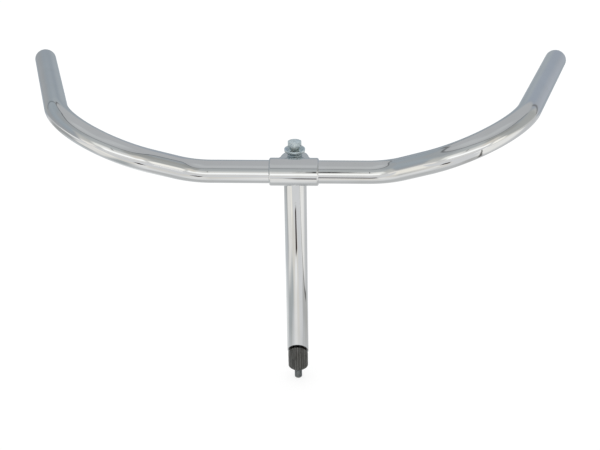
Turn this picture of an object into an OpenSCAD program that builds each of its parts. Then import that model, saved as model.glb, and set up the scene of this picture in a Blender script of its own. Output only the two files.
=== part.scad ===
// Roadster handlebar with its quill stem: a bent chromed tube held in a sleeve lug,
// and a stem tube that is locked in a steerer by a long bolt and a fluted wedge.
// Millimetres. +X runs along the bar, +Y points back towards the grips, +Z up the stem.
// The origin is on the stem's axis, where the stem tube's full round starts under the lug.

/* [Handlebar tube] */
// Outer diameter of the handlebar tube
bar_d = 22.2; // [20:0.1:25.4]
// Wall of the handlebar tube
bar_wall = 1.5; // [1:0.1:3]
// Straight length from the middle of the bar to the first bend
centre_len = 74.5; // [60:0.5:110]
// Centre line radius of the first bend
rise_bend_r = 55; // [40:1:90]
// Angle of the first bend
rise_bend_angle = 36; // [20:1:50]
// Lean of the first bend, from straight up towards the front
rise_bend_lean = 45; // [20:1:60]
// Straight length between the two bends
link_len = 27; // [10:1:60]
// Centre line radius of the second bend
grip_bend_r = 74; // [50:1:100]
// Angle of the second bend
grip_bend_angle = 98.5; // [85:0.5:110]
// Turn of the second bend's plane from the first one's
grip_bend_turn = 138; // [120:1:155]
// Straight length that takes a hand grip
grip_len = 160; // [110:1:200]
// Bevel on the rims of the open tube ends
rim_bevel = 0.4; // [0.1:0.1:0.6]
// Sideways place of the bar's middle in the sleeve
bar_shift = -4; // [-10:0.5:10]

/* [Lug] */
// Length of the sleeve round the bar
sleeve_len = 47; // [46:0.5:60]
// Wall of the sleeve
sleeve_wall = 2.2; // [1.5:0.1:3.5]
// Rounding of the sleeve's ends
sleeve_edge_r = 1.8; // [0.5:0.1:2.2]
// Distance from the stem's axis forward to the bar's axis
bar_ahead = 18; // [17:0.5:22]
// Height of the bar's axis over the top of the stem tube's full round
bar_up = 17; // [15:0.5:24]
// Height of the bolt's seat over the bar's axis
seat_up = 9.2; // [7:0.1:10.5]
// Thickness of the solid metal under the bolt's seat
seat_thick = 5; // [3:0.5:8]
// Wall of the lug's socket round the stem tube's neck
socket_wall = 2.2; // [1.5:0.1:3.5]
// Radius of the hollow flanks between the sleeve and the socket
flank_r = 11; // [6:0.5:12]
// Rounding of the flanks' top edge
flank_edge_r = 1.2; // [0.5:0.1:2]
// Rounding of the socket's top edge
top_edge_r = 2; // [0.5:0.1:2.5]

/* [Stem tube] */
// Outer diameter of the stem tube
stem_d = 22.2; // [20:0.1:25.4]
// Wall of the stem tube
stem_wall = 1.9; // [1.2:0.1:2.6]
// How much smaller the tube's radius is at its neck, which sits in the lug
neck_step = 0.3; // [0.1:0.1:0.5]
// Height of the groove between the tube's full round and the lug
neck_gap = 0.5; // [0.2:0.1:1]
// Length from the top of the full round to the tip of the slanted end
stem_len = 213; // [140:1:260]
// Angle between the slanted end and the stem's axis
cut_angle = 38; // [34:1:50]

/* [Expander wedge] */
// How much smaller the wedge's radius is than the stem tube's
wedge_inset = 0.7; // [0.3:0.1:1.5]
// Gap along the axis between the slanted faces while the bolt is loose
wedge_gap = 3; // [2.9:0.1:6]
// Length of the wedge's short side
wedge_short_side = 4.8; // [4:0.2:12]
// Width of the bevel round the wedge's lower end
wedge_bevel_w = 3; // [1:0.1:4]
// Height of that bevel
wedge_bevel_h = 2.7; // [1:0.1:3.5]
// Number of flutes round the wedge
flute_count = 24; // [12:1:30]
// Depth of a flute
flute_depth = 0.5; // [0.2:0.1:0.8]
// Radius of a flute
flute_r = 0.9; // [0.6:0.1:1.1]

/* [Expander bolt] */
// Diameter of the bolt
bolt_d = 8; // [6:0.5:9]
// Width of the hexagon head across its flats
head_flats = 13; // [12:0.5:15]
// Height of the head
head_height = 4.3; // [3.5:0.1:6.5]
// Share of the head's width that its flat crown takes
crown_share = 0.95; // [0.85:0.01:1]
// Slope of the turned edge round the crown
crown_slope = 30; // [15:1:35]
// Turn of the head's front corner towards +X
head_turn = 4; // [-30:1:30]
// Height of the loose head over the cup washer's floor
head_lift = 6.2; // [4:0.1:10]
// Length of the bolt that stands out below the wedge
bolt_proud = 12.5; // [10:0.5:30]
// Bevel at the bolt's end
bolt_bevel = 1; // [0.4:0.1:1.5]

/* [Washers] */
// Outer diameter of the spring washer
spring_d = 14.2; // [13.4:0.1:16]
// Thickness of the spring washer
spring_thick = 2.1; // [1.5:0.1:3]
// Width of the slit in the spring washer
slit_w = 1.2; // [0.5:0.1:2]
// Slant of that slit
slit_angle = 30; // [0:1:40]
// Outer diameter of the cup washer
cup_d = 20; // [18:0.5:24]
// Height of the cup washer
cup_height = 5; // [3.5:0.1:7]
// Thickness of the cup washer's floor
cup_floor = 1.9; // [1:0.1:2.5]
// Height of the cup washer's rim
cup_rim = 2.2; // [1:0.1:2.6]
// Thickness of the cup washer's wall, measured across
cup_wall = 1; // [0.7:0.1:1.4]
// Bevel on the cup washer's outer edges
cup_bevel = 0.3; // [0.1:0.1:0.5]

/* [Fits] */
// Radial play of the bar in its sleeve, and of the stem tube's neck in its socket
joint_play = 0.05; // [0.02:0.01:0.1]
// Radial play of the bolt in the wedge's thread
thread_play = 0.05; // [0.02:0.01:0.1]
// Radial play of the bolt in the lug and in the washers
hole_play = 0.3; // [0.2:0.05:0.5]

/* [Hidden] */
$fn = 96;

chrome = [0.80, 0.81, 0.83];
zinc = [0.60, 0.67, 0.70];
dark_steel = [0.27, 0.27, 0.26];

// More than any piece's radius, so that a cutting block covers it
far = 60;
// How far a cutting tool runs past the face that it opens
past = 1;
// How far a straight length of the bar laps into the bends beside it
lap = 0.5;
// How much thinner the tube is drawn in its bends, which lets the lapped lengths join cleanly
bend_thinning = 0.02;
// How far the foot of the lug's flank lies inside the sleeve's round
flank_sink = 1;
// How far the lug's flank ends outside the socket's round
flank_step = 0.1;

bar_r = bar_d / 2;
bar_bore_r = bar_r - bar_wall;
stem_r = stem_d / 2;
stem_bore_r = stem_r - stem_wall;
neck_r = stem_r - neck_step;

sleeve_bore_r = bar_r + joint_play;
sleeve_r = sleeve_bore_r + sleeve_wall;
socket_bore_r = neck_r + joint_play;
socket_r = socket_bore_r + socket_wall;
seat_z = bar_up + seat_up;
socket_top_z = seat_z - seat_thick;

bolt_r = bolt_d / 2;
bolt_hole_r = bolt_r + hole_play;

// The foot of the lug's hollow flank, inside the sleeve's round at the flat top
foot_y = sqrt(sleeve_r * sleeve_r - seat_up * seat_up) - flank_sink - bar_ahead;
// Centre of the round that hollows the flank, which runs from that foot on to the socket
flank_reach = socket_r + flank_step + flank_r;
flank_y = foot_y + flank_r;
flank_x = sqrt(flank_reach * flank_reach - flank_y * flank_y);
// Where the flank ends at the socket
touch_x = flank_x * (socket_r + flank_step) / flank_reach;
touch_y = flank_y * (socket_r + flank_step) / flank_reach;
// Half the web's width at the sleeve, which stays clear of the sleeve's rounded ends
web_reach = min(flank_x, sleeve_len / 2 - sleeve_edge_r);

// The slanted end crosses the stem's axis here, and drops by cut_slope for each mm back
cut_slope = 1 / tan(cut_angle);
cut_z = -stem_len + stem_r * cut_slope;
wedge_r = stem_r - wedge_inset;
wedge_top_z = cut_z - wedge_gap;
wedge_bottom_z = wedge_top_z - wedge_r * cut_slope - wedge_short_side;

spring_top_z = seat_z + spring_thick;
cup_floor_z = spring_top_z + cup_floor;
head_z = cup_floor_z + head_lift;
head_top_z = head_z + head_height;
bolt_end_z = wedge_bottom_z - bolt_proud;

// A bend of the given section radius towards its own +X, with what follows on its far end
module bend(section_r, radius, angle) {
    translate([radius, 0, 0]) {
        rotate([90, 0, 180])
            rotate_extrude(angle = angle) translate([radius, 0]) circle(section_r);
        rotate([0, angle, 0])
            translate([-radius, 0, 0]) children();
    }
}

// One side of the bar as a solid run of the given radius, from its first bend outwards.
// Each straight length laps a little way into the bends beside it.
module side_run(section_r) {
    rotate([0, 90, 0])
        rotate([0, 0, 180 + rise_bend_lean])
            translate([0, 0, centre_len])
                bend(section_r - bend_thinning, rise_bend_r, rise_bend_angle) {
                    translate([0, 0, -lap]) cylinder(h = link_len + 2 * lap, r = section_r);
                    translate([0, 0, link_len])
                        rotate([0, 0, -grip_bend_turn])
                            bend(section_r - bend_thinning, grip_bend_r, grip_bend_angle)
                                children();
                }
}

// The whole bar as a solid run of the given radius, with its two ends as children
module bar_run(section_r) {
    rotate([0, 90, 0])
        translate([0, 0, -centre_len - lap])
            cylinder(h = 2 * (centre_len + lap), r = section_r);
    side_run(section_r) children();
    mirror([1, 0, 0]) side_run(section_r) children();
}

// The outside of a straight end that takes a grip, bevelled at its rim
module grip_end() {
    rotate_extrude()
        polygon([
            [0, -lap], [bar_r, -lap], [bar_r, grip_len - rim_bevel],
            [bar_r - rim_bevel, grip_len], [0, grip_len]
        ]);
}

// The hollow of that end, bevelled at its mouth
module grip_bore() {
    rotate_extrude()
        polygon([
            [0, -lap], [bar_bore_r, -lap], [bar_bore_r, grip_len - rim_bevel],
            [bar_bore_r + rim_bevel, grip_len], [bar_bore_r + rim_bevel, grip_len + past],
            [0, grip_len + past]
        ]);
}

module handlebar_tube() {
    color(chrome)
        translate([bar_shift, -bar_ahead, bar_up])
            difference() {
                bar_run(bar_r) grip_end();
                bar_run(bar_bore_r) grip_bore();
            }
}

// The sleeve as a solid roll with rounded ends, before it is bored
module sleeve_roll() {
    half = sleeve_len / 2;
    inner = sleeve_r - sleeve_edge_r;
    translate([0, -bar_ahead, bar_up])
        rotate([0, 90, 0])
            rotate_extrude() {
                translate([0, -half]) square([inner, sleeve_len]);
                translate([inner, sleeve_edge_r - half])
                    square([sleeve_edge_r, sleeve_len - 2 * sleeve_edge_r]);
                for (end = [-1, 1])
                    intersection() {
                        translate([inner, end * (half - sleeve_edge_r)]) circle(sleeve_edge_r);
                        translate([inner, end > 0 ? half - sleeve_edge_r : -half])
                            square(sleeve_edge_r);
                    }
            }
}

// The upright socket, rounded round the top
module socket_roll() {
    inner = socket_r - top_edge_r;
    rotate_extrude() {
        translate([0, neck_gap]) square([inner, seat_z - neck_gap]);
        translate([inner, neck_gap]) square([top_edge_r, seat_z - top_edge_r - neck_gap]);
        intersection() {
            translate([inner, seat_z - top_edge_r]) circle(top_edge_r);
            translate([inner, seat_z - top_edge_r]) square(top_edge_r);
        }
    }
}

// What rounds the top edge of a hollow flank
module flank_edge_tool() {
    rotate_extrude()
        difference() {
            translate([flank_r - past, seat_z - flank_edge_r])
                square([flank_edge_r + past, flank_edge_r + past]);
            translate([flank_r + flank_edge_r, seat_z - flank_edge_r]) circle(flank_edge_r);
        }
}

// The web that joins the sleeve and the socket, hollowed at both flanks
module web() {
    difference() {
        translate([0, 0, bar_up - seat_up])
            linear_extrude(2 * seat_up)
                polygon([
                    [-web_reach, -bar_ahead], [web_reach, -bar_ahead], [web_reach, foot_y],
                    [touch_x, touch_y], [-touch_x, touch_y], [-web_reach, foot_y]
                ]);
        for (side = [-1, 1])
            translate([side * flank_x, flank_y, 0]) {
                cylinder(h = seat_z + past, r = flank_r);
                flank_edge_tool();
            }
    }
}

module stem_lug() {
    color(chrome)
        difference() {
            union() {
                sleeve_roll();
                difference() {
                    union() {
                        socket_roll();
                        web();
                    }
                    translate([0, 0, -past]) cylinder(h = socket_top_z + past, r = socket_bore_r);
                }
            }
            translate([-sleeve_len / 2 - past, -bar_ahead, bar_up])
                rotate([0, 90, 0]) cylinder(h = sleeve_len + 2 * past, r = sleeve_bore_r);
            translate([0, 0, socket_top_z - past])
                cylinder(h = seat_thick + 2 * past, r = bolt_hole_r);
        }
}

// A block with its slanted lower face at the given height on the axis
module slanted_block(height) {
    translate([0, 0, height])
        rotate([cut_angle - 90, 0, 0])
            translate([-far, -far, 0]) cube([2 * far, 2 * far, far]);
}

module stem_tube() {
    top_z = socket_top_z - joint_play;
    color(chrome)
        difference() {
            rotate_extrude()
                polygon([
                    [stem_bore_r, -stem_len], [stem_r, -stem_len], [stem_r, 0],
                    [neck_r, 0], [neck_r, top_z], [stem_bore_r, top_z]
                ]);
            // the slanted end
            mirror([0, 0, 1]) mirror([0, 1, 0]) slanted_block(-cut_z);
            // the mitre that goes round the sleeve
            translate([-far, -bar_ahead, bar_up])
                rotate([0, 90, 0]) cylinder(h = 2 * far, r = sleeve_r + joint_play);
        }
}

module expander_wedge() {
    length = wedge_top_z + wedge_r * cut_slope - wedge_bottom_z;
    color(dark_steel)
        difference() {
            translate([0, 0, wedge_bottom_z])
                rotate_extrude()
                    polygon([
                        [bolt_r + thread_play, 0], [wedge_r - wedge_bevel_w, 0],
                        [wedge_r, wedge_bevel_h], [wedge_r, length + past],
                        [bolt_r + thread_play, length + past]
                    ]);
            slanted_block(wedge_top_z);
            for (i = [0 : flute_count - 1])
                rotate([0, 0, 360 * (i + 0.5) / flute_count])
                    translate([wedge_r + flute_r - flute_depth, 0, wedge_bottom_z - past])
                        cylinder(h = length + 3 * past, r = flute_r, $fn = 24);
        }
}

// The hexagon head, with the corners of its top turned down to a round crown
module bolt_head() {
    corner_r = head_flats / 2 / cos(30);
    crown_r = head_flats / 2 * crown_share;
    crown_drop = (corner_r - crown_r) * tan(crown_slope);
    intersection() {
        rotate([0, 0, head_turn - 90]) cylinder(h = head_height, r = corner_r, $fn = 6);
        rotate_extrude()
            polygon([
                [0, 0], [corner_r, 0], [corner_r, head_height - crown_drop],
                [crown_r, head_height], [0, head_height]
            ]);
    }
}

module expander_bolt() {
    color(zinc)
        union() {
            translate([0, 0, head_z]) bolt_head();
            translate([0, 0, bolt_end_z])
                rotate_extrude()
                    polygon([
                        [0, 0], [bolt_r - bolt_bevel, 0], [bolt_r, bolt_bevel],
                        [bolt_r, head_z - bolt_end_z + past], [0, head_z - bolt_end_z + past]
                    ]);
        }
}

module spring_washer() {
    color(zinc)
        translate([0, 0, seat_z])
            difference() {
                cylinder(h = spring_thick, r = spring_d / 2);
                translate([0, 0, -past])
                    cylinder(h = spring_thick + 2 * past, r = bolt_hole_r);
                // the slit, slanted through the thickness at the back
                translate([0, spring_d / 2, spring_thick / 2])
                    rotate([0, slit_angle, 0])
                        cube([slit_w, spring_d, 4 * spring_thick], center = true);
            }
}

module cup_washer() {
    cup_r = cup_d / 2;
    foot_r = spring_d / 2;
    color(zinc)
        translate([0, 0, spring_top_z])
            rotate_extrude()
                polygon([
                    [bolt_hole_r, 0], [foot_r - cup_bevel, 0], [foot_r, cup_bevel],
                    [cup_r, cup_height - cup_rim], [cup_r, cup_height - cup_bevel],
                    [cup_r - cup_bevel, cup_height], [cup_r - cup_wall, cup_height],
                    [foot_r - cup_wall, cup_floor], [bolt_hole_r, cup_floor]
                ]);
}

handlebar_tube();
stem_lug();
stem_tube();
expander_wedge();
expander_bolt();
spring_washer();
cup_washer();
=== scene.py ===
"""Looks of a chromed swept-back handlebar with its quill stem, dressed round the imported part.

Metres, in the part's own frame: +X along the bar, +Y back towards the grips, +Z up the stem.
"""
import math

import bpy
from mathutils import Matrix, Vector


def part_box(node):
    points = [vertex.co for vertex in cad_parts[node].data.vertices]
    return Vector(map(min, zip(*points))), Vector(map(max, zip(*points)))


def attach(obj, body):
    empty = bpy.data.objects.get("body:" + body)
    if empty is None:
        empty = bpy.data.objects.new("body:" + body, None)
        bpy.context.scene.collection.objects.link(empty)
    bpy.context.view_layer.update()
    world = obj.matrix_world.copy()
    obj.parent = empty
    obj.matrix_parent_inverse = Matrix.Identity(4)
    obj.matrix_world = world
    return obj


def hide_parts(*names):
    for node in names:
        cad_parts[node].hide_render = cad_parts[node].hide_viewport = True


MM = 0.001

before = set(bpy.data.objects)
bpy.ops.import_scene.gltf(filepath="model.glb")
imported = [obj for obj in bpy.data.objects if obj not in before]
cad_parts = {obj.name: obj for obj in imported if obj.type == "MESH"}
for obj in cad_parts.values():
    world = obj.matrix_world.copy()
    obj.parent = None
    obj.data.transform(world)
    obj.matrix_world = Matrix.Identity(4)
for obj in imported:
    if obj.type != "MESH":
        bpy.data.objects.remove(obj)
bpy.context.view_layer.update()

# Handlebar tube, as a tube bender reads it: runs and bends from the middle outwards
BAR_RADIUS = 11.1 * MM
BAR_WALL = 1.5 * MM
BAR_MIDDLE = Vector((-4 * MM, -18 * MM, 17 * MM))
CENTRE_RUN = 74.5 * MM
RISE_BEND_RADIUS = 55 * MM
RISE_BEND_ANGLE = math.radians(36)
RISE_BEND_LEAN = math.radians(45)
RISE_BEND_STEPS = 18
LINK_RUN = 27 * MM
GRIP_BEND_RADIUS = 74 * MM
GRIP_BEND_ANGLE = math.radians(98.5)
GRIP_BEND_TURN = math.radians(138)
GRIP_BEND_STEPS = 48
GRIP_RUN = 160 * MM
RIM_BEVEL = 0.4 * MM
RIM_RUN = 3 * MM
TUBE_SIDES = 96

# Stem tube, with its slanted end and the mitre round the sleeve
STEM_RADIUS = 11.1 * MM
STEM_BORE = 9.2 * MM
NECK_RADIUS = 10.8 * MM
NECK_TOP = 21.15 * MM
STEM_LENGTH = 213 * MM
CUT_ANGLE = math.radians(38)
CUT_RIM_BEVEL = 0.35 * MM
CUT_WASTE = 3 * MM
CUT_THRESHOLD = 0.001 * MM
MITRE_RADIUS = 13.4 * MM
MITRE_REACH = 80 * MM

# Bolt: hexagon head with its crown, plain shank and rolled thread
HEAD_Z = 36.4 * MM
HEAD_FLATS = 13 * MM
HEAD_HEIGHT = 4.3 * MM
HEAD_TURN = math.radians(4)
CROWN_SHARE = 0.95
CROWN_SLOPE = math.radians(30)
BOLT_RADIUS = 4 * MM
BOLT_END_Z = -232.4 * MM
BOLT_BEVEL = 1 * MM
THREAD_PITCH = 1.25 * MM
THREAD_ROOT = 3.38 * MM
THREAD_CREST = 3.96 * MM
THREAD_HALF_CREST = 0.08 * MM
THREAD_SUNK = 0.3 * MM
THREAD_FLANK = math.radians(30)
THREAD_TURNS = 30
THREAD_SPARE_TURNS = 3
THREAD_STEPS = 40
TRIM_PLAY = 0.04 * MM
RUN_OUT_LOW = 0.3 * MM
RUN_OUT_HIGH = 1 * MM
RUN_OUT_DEPTH = 0.2 * MM
POINT_RUN = 0.4 * MM
SHOULDER_RUN = 0.8 * MM
SHANK_IN_HEAD = 1 * MM
BOLT_SIDES = 64

# Washers
WASHER_HOLE = 4.3 * MM
SEAT_Z = 26.2 * MM
SPRING_RADIUS = 7.1 * MM
SPRING_THICK = 2.1 * MM
SLIT_WIDTH = 1.2 * MM
SLIT_ANGLE = math.radians(30)
CUP_RADIUS = 10 * MM
CUP_HEIGHT = 5 * MM
CUP_FLOOR = 1.9 * MM
CUP_RIM = 2.2 * MM
CUP_WALL = 1 * MM
WASHER_SOFTNESS = 0.25 * MM

# How close two points count as one, on one plane, or at one radius
WELD = 0.002 * MM
CUT_SLACK = 0.01 * MM
RIM_SLACK = 0.05 * MM
ROUND_SLACK = 0.2 * MM

X_AXIS = Vector((1, 0, 0))
SMOOTH_ANGLE = math.radians(35)


# Bench work shared by the pieces

def close_mesh():
    """Leaves edit mode if a piece is still being edited."""
    if bpy.context.object and bpy.context.object.mode != "OBJECT":
        bpy.ops.object.mode_set(mode="OBJECT")


def clear_selection():
    """Nothing selected, so that an operator acts on the next piece alone."""
    close_mesh()
    bpy.ops.object.select_all(action="DESELECT")


def name_piece(name):
    """Names the primitive that was just added."""
    piece = bpy.context.object
    piece.name = name
    piece.data.name = name
    return piece


def take_up(piece):
    """Selects one piece alone, as the one being worked on."""
    clear_selection()
    bpy.context.view_layer.objects.active = piece
    piece.select_set(True)


def fix_place():
    """Puts the selected piece's place, turn and scale into its mesh."""
    bpy.ops.object.transform_apply(location=True, rotation=True, scale=True)


def open_mesh():
    """Into edit mode, with the whole mesh selected."""
    bpy.ops.object.mode_set(mode="EDIT")
    bpy.ops.mesh.select_all(action="SELECT")


def pick_edges(piece, wanted):
    """In edit mode, selects the edges whose two ends wanted() says yes to."""
    bpy.ops.mesh.select_mode(type="EDGE")
    bpy.ops.mesh.select_all(action="DESELECT")
    bpy.ops.object.mode_set(mode="OBJECT")
    mesh = piece.data
    for edge in mesh.edges:
        a, b = (mesh.vertices[i].co for i in edge.vertices)
        edge.select = wanted(a, b)
    bpy.ops.object.mode_set(mode="EDIT")


def tidy_shell():
    """In edit mode, welds doubles and turns every face outwards."""
    bpy.ops.mesh.select_all(action="SELECT")
    bpy.ops.mesh.remove_doubles(threshold=WELD)
    bpy.ops.mesh.normals_make_consistent(inside=False)


def finish_modifier(piece, kind, name, **settings):
    """Adds a modifier with these settings and applies it."""
    modifier = piece.modifiers.new(name, kind)
    for key, value in settings.items():
        setattr(modifier, key, value)
    bpy.ops.object.modifier_apply(modifier=name)


def settle():
    """Fixes the piece's place and smooths its faces, as a finished piece has them."""
    close_mesh()
    fix_place()
    bpy.ops.object.shade_smooth_by_angle(angle=SMOOTH_ANGLE)


def dress(piece, material):
    """Gives a piece or a CAD node one material on all its faces."""
    if not piece.material_slots:
        piece.data.materials.append(material)
    for slot in piece.material_slots:
        slot.material = material


# The bent tube

def extrude_run(heading, length):
    """Pulls the selected ring straight on."""
    bpy.ops.mesh.extrude_region_move(
        TRANSFORM_OT_translate={"value": tuple(heading * length)})


def bend_ring(place, heading, towards, radius, angle, steps):
    """Spins the selected ring round a bend, and returns the new place, heading and side."""
    centre = place + towards * radius
    axis = heading.cross(towards)
    bpy.ops.mesh.spin(steps=steps, angle=-angle, center=tuple(centre), axis=tuple(axis))
    turn = Matrix.Rotation(angle, 3, axis)
    return centre + turn @ (place - centre), turn @ heading, turn @ towards


def make_bar_tube(plate, inside):
    """The plated tube: half of it drawn from the middle out, then mirrored and given its wall."""
    clear_selection()
    bpy.ops.mesh.primitive_circle_add(
        vertices=TUBE_SIDES, radius=BAR_RADIUS, fill_type="NOTHING",
        rotation=(0, math.pi / 2, 0))
    bar = name_piece("bar_plated_tube")
    fix_place()
    open_mesh()
    extrude_run(X_AXIS, CENTRE_RUN)
    place = X_AXIS * CENTRE_RUN
    side = Vector((0, -math.sin(RISE_BEND_LEAN), math.cos(RISE_BEND_LEAN)))
    place, heading, side = bend_ring(
        place, X_AXIS, side, RISE_BEND_RADIUS, RISE_BEND_ANGLE, RISE_BEND_STEPS)
    extrude_run(heading, LINK_RUN)
    place = place + heading * LINK_RUN
    side = Matrix.Rotation(-GRIP_BEND_TURN, 3, heading) @ side
    place, heading, side = bend_ring(
        place, heading, side, GRIP_BEND_RADIUS, GRIP_BEND_ANGLE, GRIP_BEND_STEPS)
    extrude_run(heading, GRIP_RUN - RIM_RUN)
    extrude_run(heading, RIM_RUN)
    tip = place + heading * GRIP_RUN
    close_mesh()
    finish_modifier(bar, "MIRROR", "other half", use_axis=(True, False, False),
                    use_mirror_merge=True, merge_threshold=WELD)
    open_mesh()
    tidy_shell()
    close_mesh()
    for material in (plate, inside):
        bar.data.materials.append(material)
    finish_modifier(bar, "SOLIDIFY", "wall", thickness=BAR_WALL, offset=-1, use_even_offset=True,
                    material_offset=1)
    mirrored = Vector((-tip.x, tip.y, tip.z))
    mirrored_heading = Vector((-heading.x, heading.y, heading.z))

    def at_rim(a, b):
        for end, out in ((tip, heading), (mirrored, mirrored_heading)):
            across = [p - end for p in (a, b)]
            if all(abs(p.dot(out)) < RIM_SLACK and p.length < 2 * BAR_RADIUS for p in across):
                if abs(across[0].length - across[1].length) < ROUND_SLACK:
                    return True
        return False

    open_mesh()
    pick_edges(bar, at_rim)
    bpy.ops.mesh.bevel(offset=RIM_BEVEL, segments=3, affect="EDGES")
    close_mesh()
    bar.location = BAR_MIDDLE
    settle()
    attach(bar, "stem")
    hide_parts("handlebar_tube")


# Turned and threaded pieces

def widen_ring(factor):
    """Scales the selected ring about the stem's axis, level."""
    bpy.ops.transform.resize(value=(factor, factor, 1), center_override=(0, 0, 0))


def turned_piece(name, profile, sides=TUBE_SIDES, solid=False):
    """Lathed about the stem's axis: a circle pulled through each radius and height in turn."""
    clear_selection()
    radius, height = profile[0]
    bpy.ops.mesh.primitive_circle_add(
        vertices=sides, radius=radius, fill_type="NGON" if solid else "NOTHING",
        location=(0, 0, height))
    piece = name_piece(name)
    fix_place()
    open_mesh()
    rest = list(profile[1:])
    if not solid:
        rest.append(profile[0])
    for next_radius, next_height in rest:
        bpy.ops.mesh.extrude_region_move(
            TRANSFORM_OT_translate={"value": (0, 0, next_height - height)})
        widen_ring(next_radius / radius)
        radius, height = next_radius, next_height
    tidy_shell()
    close_mesh()
    return piece


def cut_with(piece, tool, operation):
    """Cuts, joins or trims a piece with a tool, which is then thrown away."""
    take_up(piece)
    finish_modifier(piece, "BOOLEAN", "cut", operation=operation, solver="EXACT", object=tool)
    bpy.data.objects.remove(tool)
    take_up(piece)


def soften(piece, width, angle):
    """Rounds the edges that are sharper than the angle."""
    take_up(piece)
    finish_modifier(piece, "BEVEL", "soft edges", width=width, segments=3,
                    limit_method="ANGLE", angle_limit=math.radians(angle),
                    harden_normals=False)


def finish_piece(piece, node, body="stem"):
    """Settles a piece, hangs it on its body, and hides the CAD node that it stands for."""
    take_up(piece)
    settle()
    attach(piece, body)
    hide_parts(node)


def make_stem_tube(plate, inside):
    """The quill: turned with its neck, cut slanted, mitred round the sleeve."""
    raw_end = -STEM_LENGTH - CUT_WASTE
    tube = turned_piece("stem_quill_tube", (
        (STEM_BORE, raw_end), (STEM_RADIUS, raw_end), (STEM_RADIUS, 0),
        (NECK_RADIUS, 0), (NECK_RADIUS, NECK_TOP), (STEM_BORE, NECK_TOP)))
    slope = 1 / math.tan(CUT_ANGLE)
    cut_place = Vector((0, 0, -STEM_LENGTH + STEM_RADIUS * slope))
    cut_normal = Vector((0, -math.cos(CUT_ANGLE), -math.sin(CUT_ANGLE)))
    open_mesh()
    bpy.ops.mesh.bisect(plane_co=tuple(cut_place), plane_no=tuple(cut_normal),
                        clear_outer=True, threshold=CUT_THRESHOLD)

    def on_cut(a, b):
        return all(abs((p - cut_place).dot(cut_normal)) < CUT_SLACK for p in (a, b))

    pick_edges(tube, on_cut)
    bpy.ops.mesh.bridge_edge_loops()

    def on_cut_rim(a, b):
        radii = [math.hypot(p.x, p.y) for p in (a, b)]
        return on_cut(a, b) and abs(radii[0] - radii[1]) < ROUND_SLACK / 2

    pick_edges(tube, on_cut_rim)
    bpy.ops.mesh.bevel(offset=CUT_RIM_BEVEL, segments=3, affect="EDGES")
    tidy_shell()
    close_mesh()
    for material in (plate, inside):
        tube.data.materials.append(material)
    for face in tube.data.polygons:
        out = Vector((face.center.x, face.center.y, 0))
        if face.normal.dot(out) < 0 and out.length < STEM_BORE + CUT_SLACK:
            face.material_index = 1
    clear_selection()
    bpy.ops.mesh.primitive_cylinder_add(
        vertices=TUBE_SIDES, radius=MITRE_RADIUS, depth=MITRE_REACH,
        location=(0, BAR_MIDDLE.y, BAR_MIDDLE.z), rotation=(0, math.pi / 2, 0))
    cut_with(tube, bpy.context.object, "DIFFERENCE")
    finish_piece(tube, "stem_tube")


def make_thread():
    """The rolled thread's ridge: a ridge section screwed up the shank and closed at both ends."""
    clear_selection()
    base = THREAD_ROOT - THREAD_SUNK
    half_base = THREAD_HALF_CREST + (THREAD_CREST - base) * math.tan(THREAD_FLANK)
    start_z = BOLT_END_Z - THREAD_PITCH
    bpy.ops.mesh.primitive_plane_add(size=1, location=(0, 0, 0))
    ridge = name_piece("bolt_thread_ridge")
    corners = ((base, -half_base), (THREAD_CREST, -THREAD_HALF_CREST),
               (THREAD_CREST, THREAD_HALF_CREST), (base, half_base))
    order = ridge.data.polygons[0].vertices
    for index, (radius, height) in zip(order, corners):
        ridge.data.vertices[index].co = (radius, 0, start_z + height)
    open_mesh()
    bpy.ops.mesh.delete(type="ONLY_FACE")
    close_mesh()
    finish_modifier(ridge, "SCREW", "turns", axis="Z", angle=math.tau,
                    screw_offset=THREAD_PITCH, iterations=THREAD_TURNS,
                    steps=THREAD_STEPS, render_steps=THREAD_STEPS, use_smooth_shade=False)
    open_mesh()
    bpy.ops.mesh.select_mode(type="EDGE")
    bpy.ops.mesh.select_all(action="DESELECT")
    bpy.ops.mesh.select_non_manifold()
    bpy.ops.mesh.fill()
    tidy_shell()
    close_mesh()
    return ridge


def make_bolt_head():
    """The hexagon, with its corners turned down to a crown."""
    clear_selection()
    corner = HEAD_FLATS / 2 / math.cos(math.pi / 6)
    crown = HEAD_FLATS / 2 * CROWN_SHARE
    drop = (corner - crown) * math.tan(CROWN_SLOPE)
    top = HEAD_Z + HEAD_HEIGHT
    bpy.ops.mesh.primitive_cylinder_add(
        vertices=6, radius=corner, depth=HEAD_HEIGHT, location=(0, 0, HEAD_Z + HEAD_HEIGHT / 2),
        rotation=(0, 0, HEAD_TURN))
    head = name_piece("bolt_head")
    fix_place()
    envelope = turned_piece("crown_tool", (
        (corner - drop, HEAD_Z), (corner, HEAD_Z + drop / 2), (corner, top - drop), (crown, top)),
        solid=True)
    cut_with(head, envelope, "INTERSECT")
    return head


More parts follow.
